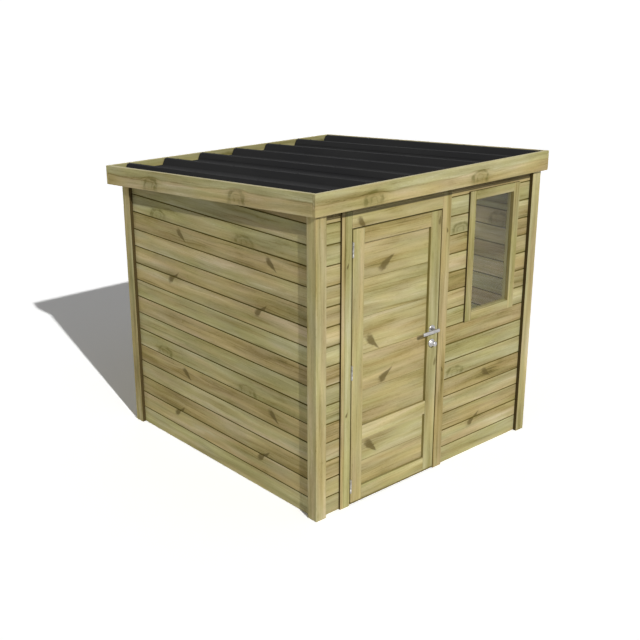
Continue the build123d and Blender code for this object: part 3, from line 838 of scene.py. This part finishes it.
bothFaces = ("-y", "+y")
timbers = {  # tone: seed, warmth and light; heart: level, sway and strength of the line over the heartwood
    "corner_post_front_left": {"along": "z", "shown": ("-x", "-y"), "tone": (0.44, 0.45, 0.85)},
    "corner_post_front_right": {"along": "z", "shown": ("+x", "-y"), "tone": (0.62, 0.45, 0.6)},
    "corner_post_back_left": {"along": "z", "shown": ("-x", "+y"), "tone": (0.18, 0.4, 0.3)},
    "corner_post_back_right": {"along": "z", "shown": ("+x", "+y"), "tone": (0.77, 0.3, 0.5)},
    "side_wall_plates": {"along": "y", "tone": (0.42, 0.4, 0.4)},
    "cross_wall_plates": {"along": "x", "tone": (0.53, 0.4, 0.4)},
    "roof_purlins": {"along": "x", "tone": (0.69, 0.4, 0.4)},
    "fascia_front": {
        "along": "x", "tone": (0.23, 0.42, 0.57),
        "knot": (0.485, -0.02, 0.8, 1.8, 0.0, 1.0), "heart": (0.006, 0.05, 0.6),
    },
    "fascia_back": {
        "along": "x", "tone": (0.87, 0.2, 0.5),
        "knot": (0.1, 0.0, 0.8, 1.6, 0.0, 1.0), "heart": (0.015, 0.05, 0.8),
    },
    "fascia_left": {
        "along": "y", "tone": (0.36, 0.32, 0.72),
        "knot": (0.74, -0.016, 0.85, 1.7, 0.0, 1.0), "heart": (0.012, 0.05, 1.0),
    },
    "fascia_right": {
        "along": "y", "tone": (0.94, 0.45, 0.5),
        "knot": (0.5, -0.01, 0.8, 1.6, 0.0, 1.0), "heart": (0.01, 0.05, 0.8),
    },
    "door_jamb_left": {
        "along": "z", "shown": bothFaces, "tone": (0.14, 0.4, 0.65),
        "knot": (1.7, 0.0, 0.38, 1.2, 1.0, 0.0), "heart": (-0.024, 0.012, 1.4),
    },
    "door_jamb_right": {
        "along": "z", "shown": bothFaces, "tone": (0.48, 0.75, 0.15),
        "knot": (1.78, 0.02, 0.38, 1.9, 1.0, 0.0),
    },
    "door_header": {
        "along": "x", "shown": bothFaces, "tone": (0.27, 0.45, 0.65),
        "knot": (0.09, -0.04, 1.0, 2.42, 1.0, 0.0),
    },
    # painted shade: the threshold is darkened all over, for the shaded line under the leaf
    "door_threshold": {"along": "x", "tone": (0.72, 0.4, 0.3), "shade": 1.3},
    "window_stile_left": {"along": "z", "shown": bothFaces, "tone": (0.58, 0.35, 0.0)},
    "window_stile_right": {"along": "z", "shown": bothFaces, "tone": (0.83, 0.5, 0.35)},
    "window_rail_bottom": {"along": "x", "shown": ("-y", "+y", "+z"), "tone": (0.39, 0.35, 0.55)},
    "window_rail_top": {"along": "x", "shown": bothFaces, "tone": (0.66, 0.3, 0.1)},
    "door_stile_left": {"along": "z", "shown": bothFaces, "tone": (0.21, 0.5, 0.65)},
    "door_stile_right": {
        "along": "z", "shown": bothFaces, "tone": (0.74, 0.15, 0.3),
        "knot": (0.83, 0.034, 0.6, 1.4, 0.8, 0.0),
    },
    "door_rail_bottom": {"along": "x", "shown": bothFaces, "tone": (0.51, 0.35, 0.55)},
    "door_rail_middle": {"along": "x", "shown": bothFaces, "tone": (0.09, 0.4, 0.85)},
    "door_rail_top": {"along": "x", "shown": bothFaces, "tone": (0.33, 0.75, 0.15)},
}
easedEdge = {
    "size": 0.0028,
    "turns": 2,
    "sharp": math.radians(30),
    "fasciaSize": 0.0045,
    "sideShade": 0.5,  # between the leaf and its frame
    "revealShade": 0.35,  # round the pane, in front of it
    "revealLight": 1.0,  # and behind it
    "slotShade": 2.0,  # painted shade on the sides beside the boards, drawn as dark slots
    # painted highlight along the top of a fascia
    "topLight": 0.9,
    "weld": 0.00001,  # points nearer than this are one
    "flat": math.radians(1),
    "onBox": 0.0001,
    "sliver": 0.00002,
    "facingShare": 0.9,  # of a face that looks straight one way
    "shownShare": 0.5,
    "topShare": 0.6,
}
axisVectors = {
    "-x": Vector((-1, 0, 0)),
    "+x": Vector((1, 0, 0)),
    "-y": Vector((0, -1, 0)),
    "+y": Vector((0, 1, 0)),
    "+z": Vector((0, 0, 1)),
}


def onOutline(edge, box):  # an edge of the timber's box, and not of a groove or hole
    middle = (edge.verts[0].co + edge.verts[1].co) / 2
    near = [min(abs(middle[axis] - corner[axis]) for corner in box) for axis in range(3)]
    return sum(distance < easedEdge["onBox"] for distance in near) > 1


def easeEdges(node, size, turns):
    shell = bmesh.new()
    shell.from_mesh(cadNodes[node].data)
    bmesh.ops.remove_doubles(shell, verts=shell.verts, dist=easedEdge["weld"])
    bmesh.ops.dissolve_limit(shell, angle_limit=easedEdge["flat"], verts=shell.verts, edges=shell.edges)
    sharp = [edge for edge in shell.edges if edge.is_manifold and edge.calc_face_angle() > easedEdge["sharp"]]
    if node.startswith(("door_stile", "door_rail")):  # the grooves for the panels keep their crisp rims
        sharp = [edge for edge in sharp if onOutline(edge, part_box(node))]
    bmesh.ops.bevel(
        shell, geom=sharp, offset=size, segments=turns, profile=0.5, affect="EDGES", clamp_overlap=True
    )
    if node.startswith("window"):  # an edge round the reveal, where the pane meets it
        everything = shell.verts[:] + shell.edges[:] + shell.faces[:]
        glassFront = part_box("window_glass")[0]
        bmesh.ops.bisect_plane(shell, geom=everything, plane_co=glassFront, plane_no=axisVectors["+y"])
        bmesh.ops.dissolve_degenerate(shell, dist=easedEdge["sliver"], edges=shell.edges)
    mesh = bpy.data.meshes.new(node + "Planed")
    shell.to_mesh(mesh)
    shell.free()
    return mesh


def sideShades(mesh, node, look):  # painted shade in the gaps between pieces and round the pane, painted highlight along the top of a fascia and on the reveal behind the pane
    shown = [axisVectors[name] for name in look.get("shown", ())]
    glassLow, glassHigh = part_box("window_glass")
    leafLow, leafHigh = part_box("door_panel_top")
    middle = None
    if node.startswith("window"):
        middle = (glassLow + glassHigh) / 2
    elif node.startswith(("door_jamb", "door_header")):
        middle = (leafLow + leafHigh) / 2
    shades = []
    for face in mesh.polygons:
        shade = look.get("shade", 0.0)
        if shown and max(face.normal.dot(side) for side in shown) < easedEdge["shownShare"]:
            shade = easedEdge["sideShade"]
            if node.startswith("corner_post") or middle and face.normal.dot(face.center - middle) > 0:
                shade = easedEdge["slotShade"]
            elif node.startswith("window"):
                inFront = face.center.y < glassLow.y
                shade = easedEdge["revealShade"] if inFront else -easedEdge["revealLight"]
        elif node.startswith("fascia") and face.normal.z > easedEdge["topShare"]:
            shade = -easedEdge["topLight"]
        shades += [shade] * face.loop_total
    mesh.attributes.new("sideShade", "FLOAT", "CORNER").data.foreach_set("value", shades)


def planeTimber(node, look):
    isFascia = node.startswith("fascia")
    mesh = easeEdges(node, easedEdge["fasciaSize" if isFascia else "size"], easedEdge["turns"])
    low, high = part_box(node)
    middle = (low + high) / 2
    grain = []
    for vertex in mesh.vertices:
        x, y, z = vertex.co - middle
        if look["along"] == "x":
            grain.append((x - low.x + middle.x, z, y))
        elif look["along"] == "y":
            grain.append((y - low.y + middle.y, z + roofSlope * y, x))
        else:
            grain.append((z - low.z + middle.z, x, y))
    setVectors(mesh, "grainPos", grain)
    knot = look.get("knot", bareKnot)
    same = {"boardTone": look["tone"], "knotSpot": knot[:3], "knotForm": knot[3:]}
    same["heartEdge"] = look.get("heart", (0.0, 0.0, 0.0))
    for layer, value in same.items():
        setVectors(mesh, layer, [value] * len(grain))
    sideShades(mesh, node, look)
    isJoinery = node.startswith(("door", "window"))
    slot = "door_and_window" if isJoinery else "posts_and_fascia"
    material = joineryPine if isJoinery else framePine
    addPiece(node + "Planed", mesh, cadNodes[node]["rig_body"], slot, material, node)
    # painted light on faces that look along x, and painted shade on the inner faces of a fascia
    if isFascia or node.startswith("corner_post"):
        inward = Vector((-middle.x, -middle.y, 0)).normalized()
        mesh.materials.append(sideFramePinePaintedLight)
        if isFascia:
            mesh.materials.append(innerFasciaPinePaintedShade)
        for face in mesh.polygons:
            if isFascia and face.normal.dot(inward) > easedEdge["facingShare"]:
                face.material_index = 2
            elif abs(face.normal.x) > easedEdge["facingShare"]:
                face.material_index = 1


for timberName, timberLook in timbers.items():
    planeTimber(timberName, timberLook)
print("shed: timbers planed")


# Roof sheets and glass keep their CAD form, and so does the ironmongery, with smooth shading

smoothing = {"weld": 0.000005, "sharp": math.radians(28)}


def smoothCopy(node, material, slot):
    shell = bmesh.new()
    shell.from_mesh(cadNodes[node].data)
    bmesh.ops.remove_doubles(shell, verts=shell.verts, dist=smoothing["weld"])
    mesh = bpy.data.meshes.new(node + "Smooth")
    shell.to_mesh(mesh)
    shell.free()
    mesh.shade_smooth()
    mesh.set_sharp_from_angle(angle=smoothing["sharp"])
    return addPiece(node + "Finished", mesh, cadNodes[node]["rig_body"], slot, material, node)


sheetNames = ("roof_sheet_left", "roof_sheet_middle", "roof_sheet_right")
for plainName in sheetNames + ("window_glass",):
    plain = cadNodes[plainName].data
    plain.materials.clear()
    plain.materials.append(greyPane if plainName == "window_glass" else coatedSheet)
for steelName in ("lever_outside", "lever_inside", "lever_spindle", "lever_rosettes", "lock_rosettes"):
    smoothCopy(steelName, satinSteel, "hardware")
for hingeName in ("hinge_frame_leaves", "hinge_door_leaves"):
    smoothCopy(hingeName, zincSteel, "hardware")
print("shed: roof, glass and ironmongery finished")


# Screws: a head and a washer on each point of a carrier mesh

screws = {
    "roof": {
        "Head Radius": 0.0052,
        "Head Height": 0.0042,
        "Washer Radius": 0.0085,
        "Washer Height": 0.0012,
        "Sides": 6,
    },
    "hinge": {
        "Head Radius": 0.0032,
        "Head Height": 0.0003,
        "Washer Radius": 0.004,
        "Washer Height": 0.0002,
        "Sides": 20,
    },
}
screwForm = {"washerTaper": 0.86, "washerSides": 20, "headTaper": 0.94, "spin": 6.28}
screwSpots = {
    "railGap": 0.06,  # purlins and ribs stand farther apart than this
    "crestDepth": 0.004,
    "ribReach": 0.03,
    "hingeGap": 0.2,
    "leafDepth": 0.001,
    "seed": 3,
    "hinge": ((-0.034, 0.013), (-0.012, 0.007), (0.012, 0.013), (0.034, 0.007)),  # up, and in from the edge
}


def makeScrewTree():
    tree = bpy.data.node_groups.new("screwField", "GeometryNodeTree")
    ins, outs = sockets(
        tree,
        [
            ("Geometry", "NodeSocketGeometry", None),
            ("Head Radius", "NodeSocketFloat", 0.005),
            ("Head Height", "NodeSocketFloat", 0.004),
            ("Washer Radius", "NodeSocketFloat", 0.008),
            ("Washer Height", "NodeSocketFloat", 0.001),
            ("Sides", "NodeSocketInt", 6),
            ("Seed", "NodeSocketInt", 0),
            ("Finish", "NodeSocketMaterial", None),
        ],
        [("Geometry", "NodeSocketGeometry")],
    )
    parts = []
    for foot, radius, taper, height, sides in (
        (0.0, ins["Washer Radius"], screwForm["washerTaper"], ins["Washer Height"], screwForm["washerSides"]),
        (ins["Washer Height"], ins["Head Radius"], screwForm["headTaper"], ins["Head Height"], ins["Sides"]),
    ):
        top = sumUp(tree, "MULTIPLY", radius, taper)
        values = {"Vertices": sides, "Radius Top": top, "Radius Bottom": radius, "Depth": height}
        cone = addNode(tree, "GeometryNodeMeshCone", values)["Mesh"]
        parts.append(moved(tree, cone, joinUp(tree, z=foot)))
    facing = {"Vector": readLayer(tree, "facing")}
    turn = addNode(tree, "FunctionNodeAlignRotationToVector", facing, axis="Z")[0]
    values = {2: 0.0, 3: screwForm["spin"], "Seed": ins["Seed"]}
    spin = addNode(tree, "FunctionNodeRandomValue", values, data_type="FLOAT")[1]
    local = addNode(tree, "FunctionNodeEulerToRotation", {0: joinUp(tree, z=spin)})[0]
    turn = addNode(tree, "FunctionNodeRotateRotation", {0: turn, 1: local}, rotation_space="LOCAL")[0]
    values = {"Points": ins["Geometry"], "Instance": joinParts(tree, parts), "Rotation": turn}
    feed(tree, outs, {"Geometry": giveFinish(tree, layOut(tree, values), ins["Finish"])})
    return tree


screwTree = makeScrewTree()


def setScrews(name, kind, spots, facing, body, slot, material):
    points = bpy.data.meshes.new(name + "Points")
    points.from_pydata(spots, [], [])
    setVectors(points, "facing", [facing] * len(spots))
    values = dict(screws[kind], Seed=screwSpots["seed"], Finish=material)
    mesh = runTree(screwTree, values, points)
    addPiece(name, mesh, body, slot, None)


def clusters(values, gap):  # middles of the groups into which sorted values fall
    values = sorted(values)
    groups = [[values[0]]]
    for value in values[1:]:
        if value - groups[-1][-1] > gap:
            groups.append([])
        groups[-1].append(value)
    return [(group[0] + group[-1]) / 2 for group in groups]


def makeRoofScrews():
    def level(point):  # height over the fall of the roof
        return point.z + roofSlope * point.y

    purlinPoints = [vertex.co for vertex in cadNodes["roof_purlins"].data.vertices]
    rails = clusters([point.y for point in purlinPoints], screwSpots["railGap"])
    sheetPoints = [vertex.co for name in sheetNames for vertex in cadNodes[name].data.vertices]
    top = max(level(point) for point in sheetPoints)
    crests = [point for point in sheetPoints if level(point) > top - screwSpots["crestDepth"]]
    spots = []
    for rib in clusters([point.x for point in crests], screwSpots["railGap"]):
        ridge = max(level(point) for point in crests if abs(point.x - rib) < screwSpots["ribReach"])
        spots += [(rib, rail, ridge - roofSlope * rail) for rail in rails]
    setScrews("roofScrews", "roof", spots, plateNormal, "shed", "roof_sheet", coatedSheet)


def makeHingeScrews():
    for node, side in (("hinge_frame_leaves", 1), ("hinge_door_leaves", -1)):
        deepest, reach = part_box(node)[1].y, screwSpots["leafDepth"]
        face = [vertex.co for vertex in cadNodes[node].data.vertices if vertex.co.y > deepest - reach]
        plate = max(point.x for point in face) if side > 0 else min(point.x for point in face)
        spots = []
        for middle in clusters([point.z for point in face], screwSpots["hingeGap"]):
            spots += [(plate, deepest - back, middle + step) for step, back in screwSpots["hinge"]]
        body = cadNodes[node]["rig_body"]
        setScrews(node + "Screws", "hinge", spots, (side, 0, 0), body, "hardware", zincSteel)


makeRoofScrews()
makeHingeScrews()
print("shed: screws set")


# Stage: white floor, low sun, even sky, and a soft lamp under the roof for what shows through the pane

stage = {
    "floorRadius": 120.0,
    "floorBounce": 0.62,
    "floorWhite": 1.28,  # lifts the sunlit floor to white in view, with the shadow in proportion
    "floorTilt": math.radians(16.5),  # shaded as if it leaned toward the sun, for a deeper shadow
    "sky": 0.22,
    "sun": 2.46,
    "sunSize": math.radians(0.8),
    "sunTurn": (math.radians(57.9), 0.0, math.radians(-14.2)),
    "fill": 0.5,  # low soft light from behind, for the far sides
    "fillSize": math.radians(40),
    "fillTurn": (math.radians(76), 0.0, math.radians(147)),
    "roomLamp": 11.5,
    "roomLampSize": 1.5,
    "roomLampPlace": (0.0, 0.0, 1.88),
}


def seenRays(tree):  # camera, mirror and glass rays meet the white backdrop
    rays = addNode(tree, "ShaderNodeLightPath")
    seen = sumUp(tree, "MAXIMUM", rays["Is Camera Ray"], rays["Is Glossy Ray"])
    return sumUp(tree, "MAXIMUM", seen, rays["Is Transmission Ray"])


def addLamp(name, kind, place=(0, 0, 5), turn=(0, 0, 0)):
    holder = bpy.data.objects.new(name, bpy.data.lights.new(name, kind))
    holder.data.energy = stage[name]
    holder.location = place
    holder.rotation_euler = turn
    scene.collection.objects.link(holder)
    return holder


def makeStage():
    mesh = bpy.data.meshes.new("floor")
    reach = stage["floorRadius"]
    corners = [(-reach, -reach, 0), (reach, -reach, 0), (reach, reach, 0), (-reach, reach, 0)]
    mesh.from_pydata(corners, [], [(0, 1, 2, 3)])
    floor = bpy.data.objects.new("floor", mesh)
    scene.collection.objects.link(floor)
    material, tree = newMaterial("whiteFloor")[:2]
    tree.nodes.remove(tree.nodes["Principled BSDF"])
    level = ramp(tree, seenRays(tree), 0.0, 1.0, stage["floorBounce"], stage["floorWhite"])
    turn = stage["sunTurn"][2]
    lean = math.sin(stage["floorTilt"])
    normal = joinUp(tree, lean * math.sin(turn), -lean * math.cos(turn), math.cos(stage["floorTilt"]))
    values = {"Color": joinUp(tree, level, level, level), "Normal": normal}
    matt = addNode(tree, "ShaderNodeBsdfDiffuse", values)[0]
    feed(tree, tree.nodes["Material Output"].inputs, {"Surface": matt})
    mesh.materials.append(material)

    world = bpy.data.worlds.new("evenSky")
    world.use_nodes = True
    scene.world = world
    tree = world.node_tree
    level = ramp(tree, seenRays(tree), 0.0, 1.0, stage["sky"], 1.0)
    feed(tree, tree.nodes["Background"].inputs, {"Strength": level, "Color": (1.0, 1.0, 1.0, 1.0)})

    addLamp("sun", "SUN", turn=stage["sunTurn"]).data.angle = stage["sunSize"]
    addLamp("fill", "SUN", turn=stage["fillTurn"]).data.angle = stage["fillSize"]
    lamp = addLamp("roomLamp", "AREA", stage["roomLampPlace"])
    lamp.data.size = stage["roomLampSize"]
    lamp.visible_camera = lamp.visible_glossy = lamp.visible_transmission = False


view = {
    "place": (-5.007, -5.572, 3.471),
    "turn": (math.radians(70.79), 0.0, math.radians(-41.752)),
    "lens": 57.29,
    "sensor": 36.0,
    "farthest": 400.0,
}


def makeCamera():
    data = bpy.data.cameras.new("camera")
    data.lens = view["lens"]
    data.sensor_width = view["sensor"]
    data.clip_end = view["farthest"]
    camera = bpy.data.objects.new("camera", data)
    camera.location = view["place"]
    camera.rotation_euler = view["turn"]
    scene.collection.objects.link(camera)
    scene.camera = camera


makeStage()
makeCamera()
scene.view_settings.view_transform = "Standard"
print("shed: stage lit")
